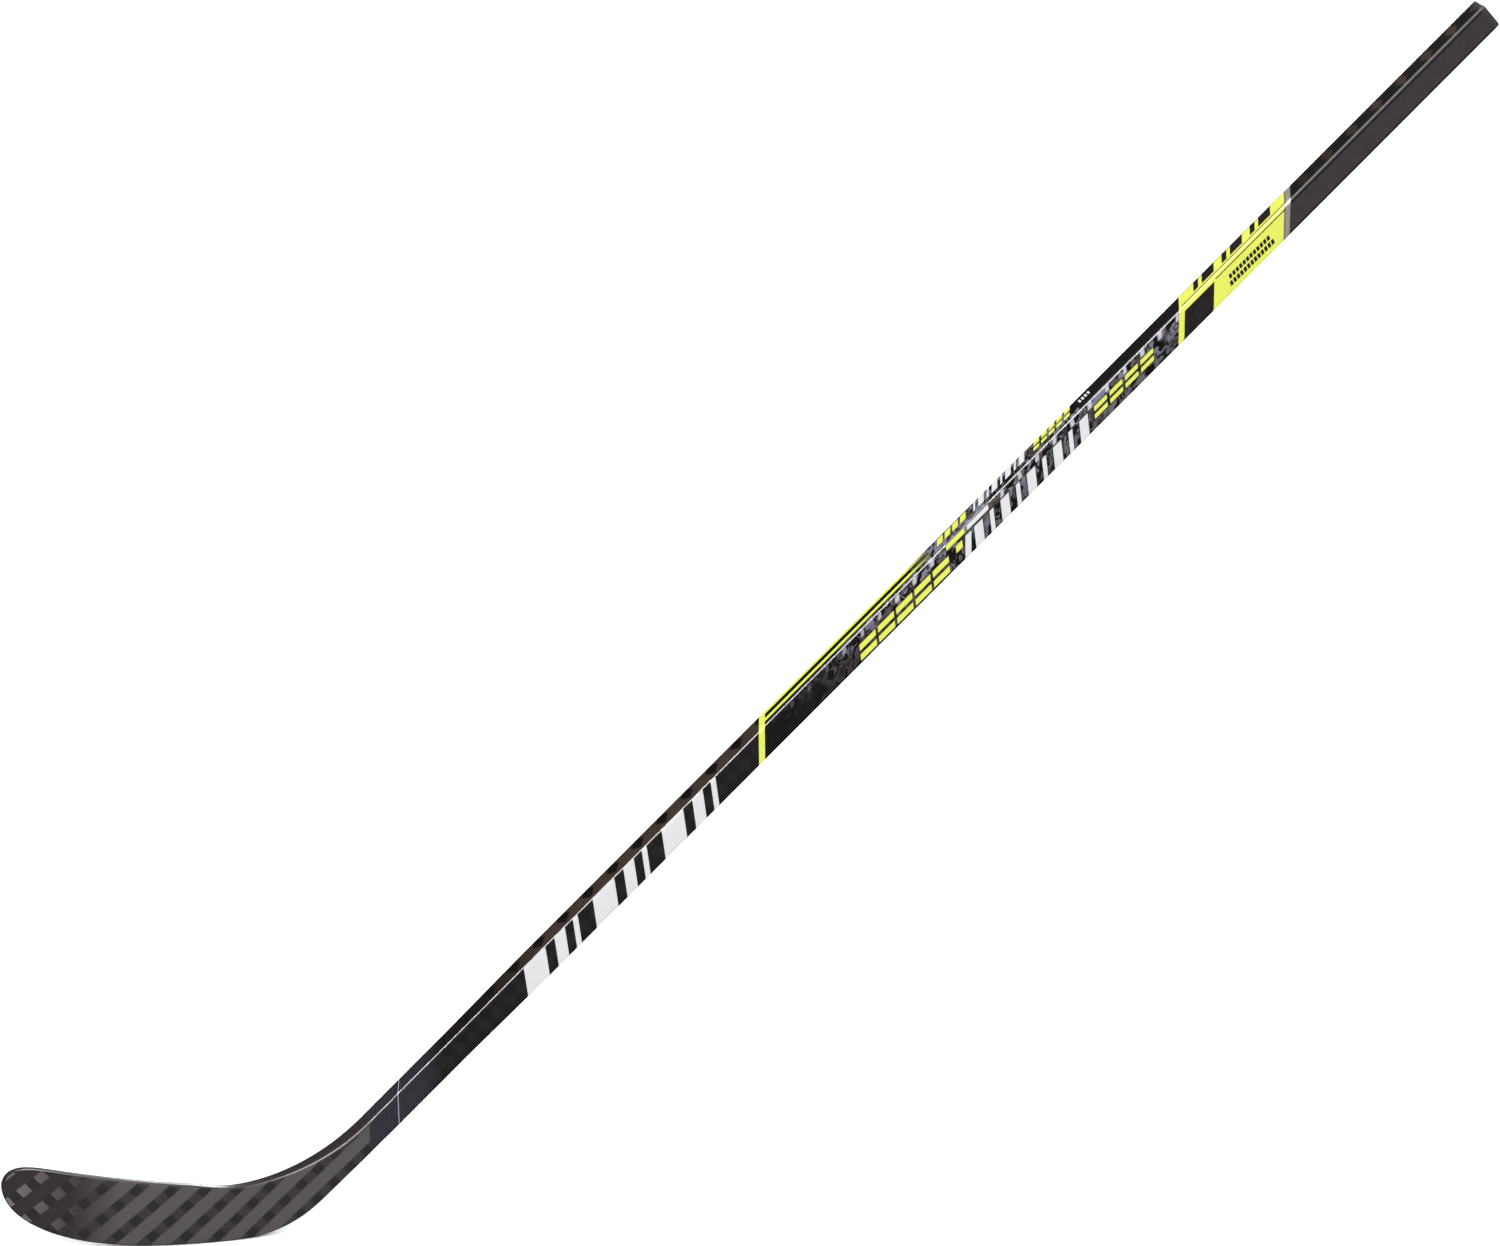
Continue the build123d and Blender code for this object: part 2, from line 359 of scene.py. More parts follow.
CAMO_SHEAR = 0.7  # how far the blotches lean down the shaft for each unit across a wide face
CAMO_FADE = (0.72, 0.885)  # where they fade to black, down the shaft
BLACK_STRIP_END = 0.5075
LINES_FADE = (0.69, 0.718)  # where the two yellow lines fade in


def camouflage_print():
    finish = Finish("camouflage_print_film", roughness=0.2, specular=0.5)
    along = finish.from_butt()
    across = finish.across_face()
    on_edge = finish.on_edge()
    sheared = finish.node(
        "ShaderNodeCombineXYZ",
        {"X": finish.plus(along, finish.times(across, CAMO_SHEAR)), "Y": across, "Z": finish.across_edge()},
    ).outputs[0]
    ground_blotch = finish.noise(0.0075, 4.0, 0.6, 0.6, place=sheared)
    dark_blotch = finish.noise(0.0095, 3.0, 0.55, 0.8, place=sheared)
    pale_blotch = finish.noise(0.0115, 3.0, 0.55, 0.5, place=finish.shifted_place(sheared, 3.1))
    stops = [
        (0.0, rgb(32, 29, 30)),
        (0.44, rgb(42, 39, 41)),
        (0.46, rgb(62, 58, 58)),
        (0.6, rgb(76, 71, 71)),
    ]
    colour = finish.steps(ground_blotch, stops)
    upper = finish.ranged(across, -0.006, 0.007, 0.35, 1.0)
    pale = finish.above(pale_blotch, 0.53, 0.015)
    colour = finish.mix(finish.times(pale, upper), colour, rgb(96, 97, 113))
    colour = finish.mix(finish.above(dark_blotch, 0.535, 0.015), colour, rgb(17, 15, 12))
    # Pale slanted dashes near the front corner, at the weave's pitch: a painted highlight where the lacquer
    # over the tows catches the light.
    leaning = finish.plus(along, finish.times(across, CAMO_SHEAR))
    highlight_dashes = finish.math("PINGPONG", leaning, TOW)
    highlight_dashes = finish.below(finish.plus(highlight_dashes, finish.times(ground_blotch, 0.006)), 0.0052, 0.001)
    highlight_dashes = finish.times(highlight_dashes, finish.between(across, 0.0078, 0.0125, 0.001))
    colour = finish.mix(finish.times(highlight_dashes, 0.75), colour, rgb(168, 168, 174))
    fade = finish.node(
        "ShaderNodeMapRange",
        {"Value": along, "From Min": CAMO_FADE[0], "From Max": CAMO_FADE[1]},
        interpolation_type="SMOOTHSTEP",
    ).outputs[0]
    drift = finish.math("ADD", fade, finish.times(finish.minus(ground_blotch, 0.5), 0.8), clamp=True)
    colour = finish.mix(finish.times(drift, finish.above(fade, 0.03, 0.06)), colour, rgb(19, 17, 18))
    front_edge = finish.times(on_edge, finish.above(across, 0.0))
    strip = finish.times(finish.below(along, BLACK_STRIP_END), front_edge)
    colour = finish.mix(strip, colour, rgb(22, 19, 20))
    yellow, ground = edge_lines(finish, along)
    colour = finish.mix(ground, colour, rgb(15, 13, 10))
    colour = finish.mix(yellow, colour, YELLOW)
    rough = finish.ranged(ground_blotch, 0.3, 0.7, 0.16, 0.24)
    return finish.done(colour, rough, corner_wave(finish, 0.00006))


def edge_lines(finish, along):
    """Two yellow lines on the front edge with a dark ground round them, fading in down the shaft."""
    across = finish.across_edge()
    fade = finish.ranged(along, *LINES_FADE, 0.0, 1.0)
    front = finish.times(finish.above(finish.across_face(), 0.0118, 0.0006), fade)
    outer = finish.above(across, 0.0034, 0.0006)
    inner = finish.between(across, -0.0046, -0.0013, 0.0006)
    return finish.times(finish.plus(outer, inner), front), finish.times(finish.above(across, -0.0062), front)


BROWN_FADE = (1.17, 1.25)  # where the brown of the lower wrap's narrow faces fades, down the shaft


def black_print():
    finish = Finish("black_print_lacquer", roughness=0.18, specular=0.5)
    along = finish.from_butt()
    weave = wide_weave(finish)
    mottle = finish.noise(0.01, 3.0, 0.6)
    face = finish.mix(weave, rgb(20, 19, 20), rgb(27, 26, 27))
    face = finish.mix(finish.times(mottle, 0.4), face, rgb(34, 30, 31))
    threads = tow_threads(finish)
    brown = finish.mix(threads, rgb(30, 22, 19), rgb(62, 50, 44))
    dark = finish.mix(threads, rgb(11, 10, 10), rgb(19, 17, 17))
    patches = finish.diamonds(
        along, finish.across_edge(), WEAVE_PITCH, WEAVE_PITCH / 4, centre=0.0015, first=0.0, soft=0.002
    )
    edge = finish.mix(patches, brown, dark)
    fade = finish.ranged(along, *BROWN_FADE, 0.0, 0.9)
    edge = finish.mix(fade, edge, rgb(19, 16, 17))
    height = finish.math("ABSOLUTE", finish.across_face())
    colour = finish.mix(finish.above(height, CORNER_START + 0.0031, 0.0006), face, edge)
    # Bluish stripes over the joint's ribs: a painted sheen.
    colour = finish.mix(joint_rib_sheen(finish), colour, rgb(52, 54, 63))
    colour = finish.mix(hairline(finish), colour, rgb(140, 148, 160))
    rough = finish.ranged(mottle, 0.3, 0.7, 0.14, 0.22)
    return finish.done(colour, rough, corner_wave(finish, 0.00008))


# where the painted sheen on the joint's ribs begins to fade in, down the shaft
RIB_SHEEN_START = 1.330
HAIRLINE = 1.3871  # light line over the joint, where it meets the near back edge
HAIRLINE_WIDTH = 0.001
RIB_PITCH = 0.0034


def joint_rib_sheen(finish):
    """Painted bluish sheen on the fine slanted ribs of the cloth round the joint."""
    drop = finish.plus(finish.from_butt(), slant_drop(finish))
    ribs = finish.math("SINE", finish.times(drop, math.pi * 2 / RIB_PITCH))
    ribs = finish.ranged(ribs, -1.0, 1.0, 0.3, 0.9)
    zone = finish.ranged(drop, RIB_SHEEN_START, RIB_SHEEN_START + 0.03, 0.0, 1.0)
    return finish.times(finish.times(ribs, zone), 0.6)


def hairline(finish):
    drop = finish.plus(finish.from_butt(), slant_drop(finish))
    return finish.times(finish.between(drop, HAIRLINE, HAIRLINE + HAIRLINE_WIDTH, 0.0005), 0.8)


# ---- Finishes of the blade --------------------------------------------------------
STRIPE_PITCH = 0.02235
STRIPE_WIDTH = 0.0129
STRIPE_FIRST = 0.0289 - STRIPE_PITCH / 2
CROSS_PITCH = 0.0204
CROSS_WIDTH = 0.0098
CROSS_FIRST = -0.1012
STRIPE_TOP = 1.4235
CURVE_START = 0.030
CURVE_GAIN = 0.686  # extra length of the curved face per cube of the distance past the curve's start


def along_blade(finish):
    return finish.minus(HEEL.x, finish.dot((1.0, 0.0, 0.0)))


def on_blade_face(finish):
    """1 on the blade's two broad faces and 0 on its edges."""
    normal = finish.node("ShaderNodeNewGeometry").outputs["Normal"]
    across = finish.node("ShaderNodeSeparateXYZ", {0: normal}).outputs[1]
    return finish.above(finish.math("ABSOLUTE", across), 0.8, 0.12)


def tow_pattern(finish):
    """Where the light tows and the dark crossing tows of the blade lie, measured over its curve."""
    along = along_blade(finish)
    past = finish.math("MAXIMUM", finish.minus(along, CURVE_START), 0.0)
    along = finish.plus(along, finish.times(finish.math("POWER", past, 3.0), CURVE_GAIN))
    up = finish.minus(finish.dot((0.0, 0.0, 1.0)), ICE)
    rising = finish.times(finish.plus(along, up), math.sqrt(0.5))
    falling = finish.times(finish.minus(up, along), math.sqrt(0.5))
    from_stripe = finish.math("PINGPONG", finish.minus(rising, STRIPE_FIRST), STRIPE_PITCH / 2)
    from_cross = finish.math("PINGPONG", finish.minus(falling, CROSS_FIRST), CROSS_PITCH / 2)
    stripe = finish.below(from_stripe, STRIPE_WIDTH / 2, 0.0006)
    cross = finish.below(from_cross, CROSS_WIDTH / 2, 0.0006)
    return stripe, cross


def blade_finish(name, roughness):
    """Unpainted carbon under satin lacquer: light tows, dark crossings, and light squares at the toe whose
    brightness is a painted sheen.
    """
    finish = Finish(name, roughness=roughness, specular=0.4)
    stripe, cross = tow_pattern(finish)
    along = along_blade(finish)
    threads = finish.noise(0.0011, 2.0, 0.6)
    light = finish.mix(threads, rgb(63, 60, 61), rgb(73, 69, 70))
    dark = finish.mix(threads, rgb(44, 40, 42), rgb(50, 46, 48))
    deep = finish.mix(threads, rgb(32, 28, 31), rgb(38, 34, 37))
    toe_ground = finish.mix(threads, rgb(38, 33, 36), rgb(44, 38, 41))
    # Painted sheen: the squares between the tows at the toe lighten towards its tip, where the curved fibres
    # catch the light.
    toe_square_sheen = finish.mix(finish.ranged(along, 0.19, 0.245, 0.0, 1.0), rgb(50, 45, 47), rgb(88, 81, 82))
    light = finish.mix(finish.ranged(along, 0.155, 0.195, 0.0, 1.0), light, toe_ground)
    # Near the toe the squares between the dark crossings take the painted sheen.
    between = finish.mix(finish.ranged(along, 0.182, 0.192, 0.0, 1.0), dark, toe_square_sheen)
    colour = finish.mix(stripe, finish.mix(cross, between, deep), light)
    edge = finish.mix(threads, rgb(34, 28, 28), rgb(46, 39, 39))
    colour = finish.mix(on_blade_face(finish), edge, colour)
    drop = finish.plus(finish.from_butt(), slant_drop(finish))
    # Above the tows, the joint's dark cloth with a painted bluish sheen on its ribs.
    cloth = finish.mix(joint_rib_sheen(finish), rgb(26, 26, 28), rgb(52, 54, 63))
    colour = finish.mix(finish.below(drop, STRIPE_TOP, 0.0008), colour, cloth)
    weave = finish.noise(0.0008, 2.0, 0.7)
    rough = finish.ranged(weave, 0.3, 0.7, roughness - 0.04, roughness + 0.06)
    return finish.done(colour, rough, finish.bump(weave, 0.00002, 0.5))


def joint_carbon():
    finish = Finish("joint_carbon_gloss", roughness=0.2, specular=0.5)
    cloth = finish.noise(0.003, 2.0, 0.6)
    colour = finish.mix(cloth, rgb(22, 22, 24), rgb(30, 30, 33))
    # Painted bluish sheen on the cloth's ribs.
    colour = finish.mix(joint_rib_sheen(finish), colour, rgb(52, 54, 63))
    colour = finish.mix(hairline(finish), colour, rgb(140, 148, 160))
    return finish.done(colour, finish.ranged(cloth, 0.3, 0.7, 0.16, 0.24))


# ---- Finishes of the parts inside -------------------------------------------------
def inside_finish(name, low, high, size, roughness, specular=0.4, depth=0.00005):
    """Two-tone mottle with a fine bump, for the parts that are closed in."""
    finish = Finish(name, roughness=roughness, specular=specular)
    mottle = finish.noise(size, 3.0, 0.6)
    rough = finish.ranged(mottle, 0.3, 0.7, roughness - 0.06, roughness + 0.06)
    return finish.done(finish.mix(mottle, low, high), rough, finish.bump(mottle, depth, 0.6))


def white_print():
    finish = Finish("white_print_film", roughness=0.3, specular=0.35)
    mottle = finish.noise(0.02, 3.0, 0.5)
    colour = finish.mix(mottle, rgb(171, 171, 173), rgb(179, 179, 181))
    return finish.done(colour, finish.ranged(mottle, 0.3, 0.7, 0.26, 0.36))


def outline_print():
    finish = Finish("outline_print_film", roughness=0.3, specular=0.25)
    mottle = finish.noise(0.01, 3.0, 0.5)
    colour = finish.mix(mottle, rgb(22, 20, 20), rgb(34, 31, 31))
    return finish.done(colour, finish.ranged(mottle, 0.3, 0.7, 0.26, 0.36))


# ---- Rows of printed marks, by Geometry Nodes -------------------------------------
MARK_INPUTS = (
    ("Count", "NodeSocketInt", 1),
    ("First", "NodeSocketFloat", 0.0),
    ("Pitch", "NodeSocketFloat", 0.02),
    ("Length", "NodeSocketFloat", 0.01),
    ("Low", "NodeSocketFloat", -0.01),
    ("High", "NodeSocketFloat", 0.01),
    ("Slant", "NodeSocketFloat", 0.0),
    ("Outline", "NodeSocketFloat", 0.0),
    ("Lift", "NodeSocketFloat", 0.0),
    ("Thickness", "NodeSocketFloat", 0.00006),
    ("Both faces", "NodeSocketBool", True),
    ("Half width", "NodeSocketFloat", FILM_WIDTH / 2),
    ("Half depth", "NodeSocketFloat", FILM_DEPTH / 2),
    ("Corner", "NodeSocketFloat", FILM_CORNER),
    ("Taper start", "NodeSocketFloat", TAPER_START),
    ("Taper length", "NodeSocketFloat", TAPER_LENGTH),
    ("Taper drop", "NodeSocketFloat", TAPER_DROP),
    ("Print", "NodeSocketMaterial", None),
)
MARK_CUTS = 33  # points across a mark, so that it bends smoothly round a corner
MARK_LONG_CUTS = 7  # points along it, so that it follows the taper
MARK_THICKNESS = 0.00008
OUTLINE_STEP = 0.00005  # how much lower an outline lies than its mark


def marks_tree():
    """A row of slanted bars, laid out flat and then bent round the shaft's section."""
    tree = bpy.data.node_groups.new("printed_mark_row", "GeometryNodeTree")
    tree.interface.new_socket("Geometry", in_out="OUTPUT", socket_type="NodeSocketGeometry")
    for name, kind, value in MARK_INPUTS:
        made = tree.interface.new_socket(name, in_out="INPUT", socket_type=kind)
        if value is not None:
            made.default_value = value
    n = Nodes(tree)
    given = n.node("NodeGroupInput").outputs
    grow = n.times(given["Outline"], 2.0)
    height = n.plus(n.minus(given["High"], given["Low"]), grow)
    sides = {"X": n.plus(given["Length"], grow), "Y": height, "Z": given["Thickness"]}
    size = n.node("ShaderNodeCombineXYZ", sides).outputs[0]
    cuts = {"Size": size, "Vertices X": MARK_LONG_CUTS, "Vertices Y": MARK_CUTS, "Vertices Z": 2}
    bar = n.node("GeometryNodeMeshCube", cuts)
    start = n.node("ShaderNodeCombineXYZ", {"X": given["First"]}).outputs[0]
    step = n.node("ShaderNodeCombineXYZ", {"X": given["Pitch"]}).outputs[0]
    places = {"Count": given["Count"], "Start Location": start, "Offset": step}
    line = n.node("GeometryNodeMeshLine", places, mode="OFFSET")
    bars = {"Points": line.outputs[0], "Instance": bar.outputs["Mesh"]}
    row = n.node("GeometryNodeInstanceOnPoints", bars).outputs[0]
    flat = n.node("GeometryNodeRealizeInstances", {"Geometry": row}).outputs[0]
    bent = n.node("GeometryNodeSetPosition", {"Geometry": flat, "Position": bent_place(n, given)}).outputs[0]
    other = n.node("GeometryNodeTransform", {"Geometry": bent, "Scale": (1.0, -1.0, 1.0)}).outputs[0]
    other = n.node("GeometryNodeFlipFaces", {"Mesh": other}).outputs[0]
    pair = n.node("GeometryNodeJoinGeometry")
    tree.links.new(bent, pair.inputs[0])
    tree.links.new(other, pair.inputs[0])
    choice = n.node(
        "GeometryNodeSwitch",
        {"Switch": given["Both faces"], "False": bent, "True": pair.outputs[0]},
        input_type="GEOMETRY",
    )
    whole = n.node("GeometryNodeRealizeInstances", {"Geometry": choice.outputs[0]}).outputs[0]
    printed = n.node("GeometryNodeSetMaterial", {"Geometry": whole, "Material": given["Print"]}).outputs[0]
    n.node("NodeGroupOutput", {0: printed})
    return tree


def bent_place(n, given):
    """Place on the shaft of a point of the flat layout: x down the shaft, y round it, z off it."""
    flat = n.node("ShaderNodeSeparateXYZ", {0: n.node("GeometryNodeInputPosition").outputs[0]}).outputs
    around = n.plus(flat[1], n.times(n.plus(given["Low"], given["High"]), 0.5))
    down = n.minus(flat[0], n.times(around, given["Slant"]))
    lift = n.plus(n.plus(flat[2], given["Lift"]), given["Corner"])
    share = n.math("DIVIDE", n.minus(down, given["Taper start"]), given["Taper length"], clamp=True)
    drop = n.times(share, given["Taper drop"])
    flat_face = n.minus(n.minus(given["Half width"], drop), given["Corner"])
    flat_edge = n.minus(n.minus(given["Half depth"], drop), given["Corner"])
    quarter = n.times(given["Corner"], math.pi / 2)
    reached = n.math("ABSOLUTE", around)
    past_face = n.math("MAXIMUM", n.minus(reached, flat_face), 0.0)
    first_turn = n.math("MINIMUM", n.math("DIVIDE", past_face, given["Corner"]), math.pi / 2)
    past_corner = n.math("MAXIMUM", n.minus(past_face, quarter), 0.0)
    over_edge = n.math("MINIMUM", past_corner, n.times(flat_edge, 2.0))
    past_edge = n.math("MAXIMUM", n.minus(past_corner, n.times(flat_edge, 2.0)), 0.0)
    second_turn = n.math("MINIMUM", n.math("DIVIDE", past_edge, given["Corner"]), math.pi / 2)
    rise = n.times(n.times(lift, n.math("SINE", first_turn)), n.math("COSINE", second_turn))
    height = n.plus(n.math("MINIMUM", reached, flat_face), rise)
    depth = n.minus(over_edge, n.plus(flat_edge, n.times(lift, n.math("COSINE", first_turn))))
    depth = n.plus(depth, n.times(lift, n.math("SINE", second_turn)))
    side = n.math("SIGN", around)
    parts = {"X": down, "Y": depth, "Z": n.times(height, side)}
    return n.node("ShaderNodeCombineXYZ", parts).outputs[0]


def set_inputs(modifier, tree, values):
    """Sets a modifier's inputs by their identifiers, from values given by name."""
    for item in tree.interface.items_tree:
        if item.item_type == "SOCKET" and item.in_out == "INPUT" and item.name in values:
            modifier[item.identifier] = values[item.name]


def shaft_matrix():
    """Turns (down the shaft, far, front) into the frame."""
    columns = (-UP_SHAFT, FAR, FRONT)
    turned = Matrix([[column[row] for column in columns] for row in range(3)]).to_4x4()
    return Matrix.Translation(BUTT) @ turned


def mark_mesh(tree, row, material):
    """Plain mesh of one row of marks, in the frame."""
    holder_mesh = bpy.data.meshes.new("row_holder")
    holder = bpy.data.objects.new("row_holder", holder_mesh)
    bpy.context.scene.collection.objects.link(holder)
    modifier = holder.modifiers.new("marks", "NODES")
    modifier.node_group = tree
    set_inputs(modifier, tree, {**row, "Print": material})
    depsgraph = bpy.context.evaluated_depsgraph_get()
    mesh = bpy.data.meshes.new_from_object(holder.evaluated_get(depsgraph), depsgraph=depsgraph)
    bpy.data.objects.remove(holder)
    bpy.data.meshes.remove(holder_mesh)
    return mesh


def printed_piece(name, tree, rows, material):
    """One piece from several rows of marks of one colour."""
    joined = bmesh.new()
    for row in rows:
        mesh = mark_mesh(tree, row, material)
        joined.from_mesh(mesh)
        bpy.data.meshes.remove(mesh)
    joined.transform(shaft_matrix())
    bmesh.ops.recalc_face_normals(joined, faces=joined.faces)
    whole = bpy.data.meshes.new(name)
    joined.to_mesh(whole)
    joined.free()
    whole.materials.append(material)
    piece = bpy.data.objects.new(name, whole)
    bpy.context.scene.collection.objects.link(piece)
    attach(piece, "root")
    return piece


def row(first, count, pitch, length, low, high, slant=MARK_SLANT, lift=0.0, both=True):
    """Inputs of one row, from sizes in millimetres.

    first is the middle of the first mark, down the shaft, where it crosses the face's middle line.
    low and high are the mark's ends, measured round the section from that line.
    """
    return {
        "First": first / 1000,
        "Count": count,
        "Pitch": pitch / 1000,
        "Length": length / 1000,
        "Low": low / 1000,
        "High": high / 1000,
        "Slant": slant,
        "Lift": lift / 1000,
        "Outline": 0.0,
        "Thickness": MARK_THICKNESS,
        "Both faces": both,
    }


def outlined(rows, width):
    """The same rows, wider all round and lower."""
    wider = []
    for given in rows:
        wider.append({**given, "Outline": width / 1000, "Lift": given["Lift"] - OUTLINE_STEP})
    return wider


def lower_marks():
    """Three groups of wide slanted bars on the lower wrap."""
    start = LOWER_START * 1000
    return [
        row(start + 269.5, 3, -86.5, 27.0, -14.0, 13.0, lift=0.05),
        row(start + 238.0, 3, -86.5, 13.0, -14.0, 13.0, lift=0.05),
        row(start + 218.5, 3, -86.5, 6.0, -14.0, 13.0, lift=0.05),
    ]


def upper_white_marks():
    """White bars on the camouflage, and the flat bar over their lower end."""
    start = CAMO_START * 1000
    return [
        row(start + 109.5, 5, 33.0, 10.5, -14.0, 6.4, lift=0.1),
        row(start + 126.0, 4, 33.0, 5.0, -14.0, 6.4, lift=0.1),
        row(start + 255.0, 1, 33.0, 7.5, -14.0, 6.0, slant=0.78, lift=0.1),
        row(start + 241.5, 1, 33.0, 27.0, 8.8, 12.6, lift=0.1),
    ]


def edge_white_marks():
    """White bars on the front narrow face, and four ticks on its black strip."""
    start = CAMO_START * 1000
    return [
        row(start + 184.5, 4, 17.0, 7.0, 18.4, 29.0, lift=0.1, both=False),
        row(start + 193.0, 4, 17.0, 2.5, 18.4, 29.0, lift=0.1, both=False),
        row(start + 86.5, 4, 3.6, 2.2, 20.8, 24.8, slant=0.0, lift=0.05, both=False),
    ]


def yellow_marks():
    """Two double rows of yellow bars and a pair of single bars on the camouflage."""
    start = CAMO_START * 1000
    return [
        row(start + 30.0, 4, 19.4, 16.0, 2.4, 6.4, lift=0.1),
        row(start + 30.0, 4, 19.4, 16.0, -3.9, -0.1, lift=0.1),
        row(start + 289.5, 5, 23.0, 20.0, -1.4, 3.8, lift=0.1),
        row(start + 289.5, 5, 23.0, 20.0, -9.8, -4.6, lift=0.1),
        row(start + 269.5, 1, 23.0, 23.0, 8.9, 12.8, lift=0.1),
        row(start + 266.0, 1, 23.0, 8.0, -0.6, 5.6, lift=0.1),
    ]


def edge_yellow_marks():
    """Yellow bars on the front narrow face."""
    start = CAMO_START * 1000
    return [
        row(start + 127.5, 5, 9.6, 7.0, 23.8, 28.5, lift=0.1, both=False),
        row(start + 127.5, 5, 9.6, 7.0, 18.4, 21.8, lift=0.1, both=False),
        row(start + 258.5, 4, 9.6, 7.0, 19.4, 27.0, lift=0.1, both=False),
    ]


def upper_black_marks():
    """The black block and two rows of dashes on the yellow wrap."""
    start = UPPER_START * 1000
    block_end = CAMO_START * 1000 - 9.0
    return [
        row(block_end - 26.5, 1, 1.0, 37.0, -14.3, 10.0, slant=FACE_SLANT, lift=0.05),
        row(start + 9.0, 12, 4.3, 3.1, -0.3, 3.9, slant=0.25, lift=0.05),
        row(start + 6.5, 13, 4.3, 3.1, -6.8, -2.2, slant=0.25, lift=0.05),
    ]


def upper_black_edge_marks():
    """Black bars on the front narrow face of the yellow wrap."""
    start = UPPER_START * 1000
    return [
        row(start + 11.5, 3, 35.5, 15.0, 18.0, 31.0, lift=0.05, both=False),
        row(start + 26.5, 3, 35.5, 6.0, 18.0, 31.0, lift=0.05, both=False),
    ]


def upper_black_lines():
    """Two thin lines along the corner of the yellow wrap."""
    start = UPPER_START * 1000
    return [
        row(start + 23.5, 1, 1.0, 88.0, 10.5, 11.4, slant=0.0, lift=0.05),
        row(start + 40.5, 1, 1.0, 131.0, 15.0, 15.8, slant=0.0, lift=0.05),
    ]


def print_marks(finishes):
    """All the printed marks, a piece for each colour and face."""
    tree = marks_tree()
    white, yellow, black = finishes["white_print"], finishes["yellow_print"], finishes["outline_print"]
    printed_piece("lower_white_bars", tree, lower_marks(), white)
    printed_piece("upper_white_bars", tree, upper_white_marks(), white)
    printed_piece("edge_white_bars", tree, edge_white_marks(), white)
    printed_piece("yellow_bars", tree, yellow_marks(), yellow)
    printed_piece("edge_yellow_bars", tree, edge_yellow_marks(), yellow)
    outlines = outlined(upper_white_marks(), 1.1) + outlined(yellow_marks(), 0.9)
    printed_piece("bar_outlines", tree, outlines, black)
    edge_outlines = outlined(edge_white_marks()[:2], 0.6) + outlined(edge_yellow_marks(), 0.5)
    printed_piece("edge_bar_outlines", tree, edge_outlines, black)
    printed_piece("black_block_and_dashes", tree, upper_black_marks(), black)
    printed_piece("edge_black_bars", tree, upper_black_edge_marks(), black)
    printed_piece("black_pinstripes", tree, upper_black_lines(), black)


# ---- Which finish goes on which CAD node ------------------------------------------
def make_finishes():
    """Every finish by the name of its material slot in the record."""
    return {
        "grip_coating": grip_coating(),
        "plug_plastic": plug_plastic(),
        "silver_print": silver_print(),
        "yellow_print": yellow_print(),
        "camouflage_print": camouflage_print(),
        "black_print": black_print(),
        "joint_carbon": joint_carbon(),
        "blade_carbon": blade_finish("blade_carbon_satin", 0.34),
        "rail_carbon": blade_finish("rail_carbon_satin", 0.3),
        "white_print": white_print(),
        "outline_print": outline_print(),
        "shaft_carbon": inside_finish("shaft_carbon_raw", rgb(30, 28, 29), rgb(48, 45, 46), 0.004, 0.4),
        "hot_melt": inside_finish("hot_melt_glue", rgb(190, 176, 130), rgb(226, 214, 176), 0.006, 0.35),
        "tenon_composite": inside_finish(
            "tenon_composite_raw", rgb(44, 42, 44), rgb(66, 63, 64), 0.002, 0.55
        ),
        "dense_foam": inside_finish(
            "dense_foam_cells", rgb(200, 190, 160), rgb(228, 220, 196), 0.0012, 0.8, 0.2
        ),
        "core_foam": inside_finish(
            "core_foam_cells", rgb(226, 222, 208), rgb(244, 241, 232), 0.0016, 0.85, 0.2
        ),
    }


def paint_nodes(finishes):
    """Gives each CAD node the finish of its slot."""
    slots = {entry["node"]: entry["material_slot"] for entry in frame["record"]["subparts"]}
    for name, piece in frame["nodes"].items():
        finish = finishes[slots[name]]
        if not piece.material_slots:
            piece.data.materials.append(finish)
        for held in piece.material_slots:
            held.material = finish


# ---- Studio -----------------------------------------------------------------------
CAMERA_AZIMUTH = -26.3
CAMERA_ELEVATION = 23.9
CAMERA_ROLL = 5.63
CAMERA_DISTANCE = 5.927
CAMERA_LENS = 159.84
CAMERA_SENSOR = 36.0
CAMERA_AIM = Vector((-0.6041, 0.0458, -0.5111))
FLOOR_HALF = 20.0
AIR_STRENGTH = 1.4
LIT_POINT = BUTT - UP_SHAFT * 0.75
OVERHEAD_DIRECTION = Vector((-0.35, -0.5, 1.0))
OVERHEAD_DISTANCE = 3.5
OVERHEAD_SIZE = (3.0, 3.0)
OVERHEAD_POWER = 120.0
STRIP_DIRECTIONS = (
    ("near_strip_box", Vector((-0.606, -0.514, 0.606))),
    ("far_strip_box", Vector((0.53, 0.655, 0.53))),
)
STRIP_DISTANCE = 2.6
STRIP_SIZE = (2.4, 0.1)
STRIP_POWER = 150.0


def make_camera():
    """Camera at its azimuth and elevation round the aim, turned by its roll."""
    azimuth, elevation, roll = (math.radians(a) for a in (CAMERA_AZIMUTH, CAMERA_ELEVATION, CAMERA_ROLL))
    back = Vector(
        (
            math.sin(azimuth) * math.cos(elevation),
            -math.cos(azimuth) * math.cos(elevation),
            math.sin(elevation),
        )
    )
    level = (-back).cross(Vector((0.0, 0.0, 1.0))).normalized()
    upright = level.cross(-back)
    right = level * math.cos(roll) + upright * math.sin(roll)
    up = upright * math.cos(roll) - level * math.sin(roll)
    data = bpy.data.cameras.new("studio_camera")
    data.lens = CAMERA_LENS
    data.sensor_width = CAMERA_SENSOR
    data.sensor_fit = "HORIZONTAL"
    camera = bpy.data.objects.new("studio_camera", data)
    turned = Matrix([[column[axis] for column in (right, up, back)] for axis in range(3)]).to_4x4()
    camera.matrix_world = Matrix.Translation(CAMERA_AIM + back * CAMERA_DISTANCE) @ turned
    bpy.context.scene.collection.objects.link(camera)
    bpy.context.scene.camera = camera


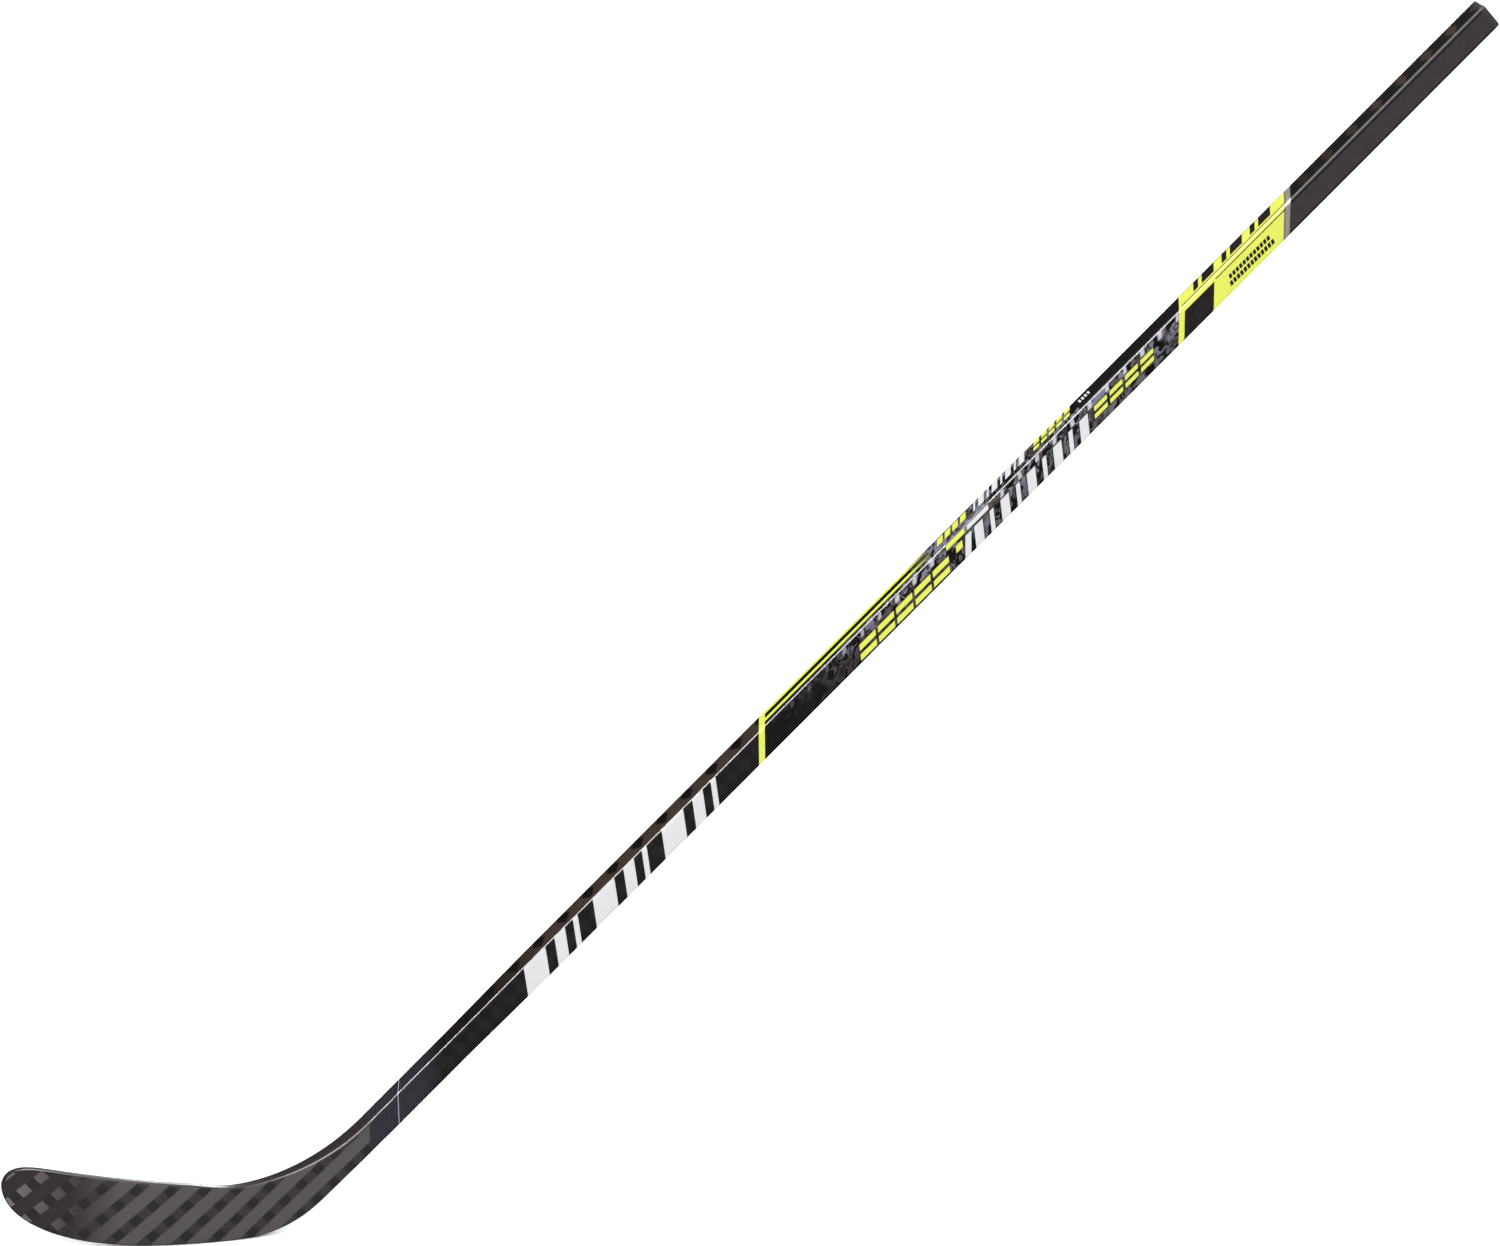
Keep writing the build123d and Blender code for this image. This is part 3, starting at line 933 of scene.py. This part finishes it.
def make_floor():
    """Pale square floor at the blade's lowest point."""
    corners = []
    for x, y in ((-1, -1), (1, -1), (1, 1), (-1, 1)):
        corners.append((BOX_MIDDLE.x + x * FLOOR_HALF, BOX_MIDDLE.y + y * FLOOR_HALF, ICE))
    mesh = bpy.data.meshes.new("floor")
    mesh.from_pydata(corners, [], [(0, 1, 2, 3)])
    finish = Finish("floor_paint", roughness=0.9, specular=0.1)
    tone = finish.noise(0.8, 2.0, 0.5)
    mesh.materials.append(finish.done(finish.mix(tone, (0.93, 0.93, 0.93, 1.0), (0.95, 0.95, 0.95, 1.0))))
    floor = bpy.data.objects.new("floor", mesh)
    bpy.context.scene.collection.objects.link(floor)
    floor.visible_glossy = False


def aimed_light(name, direction, distance, size, energy, along=None):
    """Area light that faces the lit point, its long side along a given direction."""
    data = bpy.data.lights.new(name, "AREA")
    data.shape = "RECTANGLE"
    data.size, data.size_y = size
    data.energy = energy
    light = bpy.data.objects.new(name, data)
    back = direction.normalized()
    side = along or Vector((1.0, 0.0, 0.0))
    side = (side - back * side.dot(back)).normalized()
    up = back.cross(side)
    turned = Matrix([[column[axis] for column in (side, up, back)] for axis in range(3)]).to_4x4()
    light.matrix_world = Matrix.Translation(LIT_POINT + back * distance) @ turned
    bpy.context.scene.collection.objects.link(light)
    return light


def make_lights():
    """Even white surroundings that light the stick, and strip boxes that only its gloss shows."""
    world = bpy.data.worlds.new("studio_air")
    bpy.context.scene.world = world
    world.use_nodes = True
    background = world.node_tree.nodes["Background"]
    background.inputs["Color"].default_value = (1.0, 1.0, 1.0, 1.0)
    background.inputs["Strength"].default_value = AIR_STRENGTH
    world.cycles_visibility.glossy = False
    aimed_light("overhead_box", OVERHEAD_DIRECTION, OVERHEAD_DISTANCE, OVERHEAD_SIZE, OVERHEAD_POWER)
    for name, direction in STRIP_DIRECTIONS:
        strip = aimed_light(name, direction, STRIP_DISTANCE, STRIP_SIZE, STRIP_POWER, UP_SHAFT)
        strip.visible_diffuse = False
    bpy.context.scene.view_settings.view_transform = "Standard"


FINISHES = make_finishes()
paint_nodes(FINISHES)
print_marks(FINISHES)
make_floor()
make_lights()
make_camera()
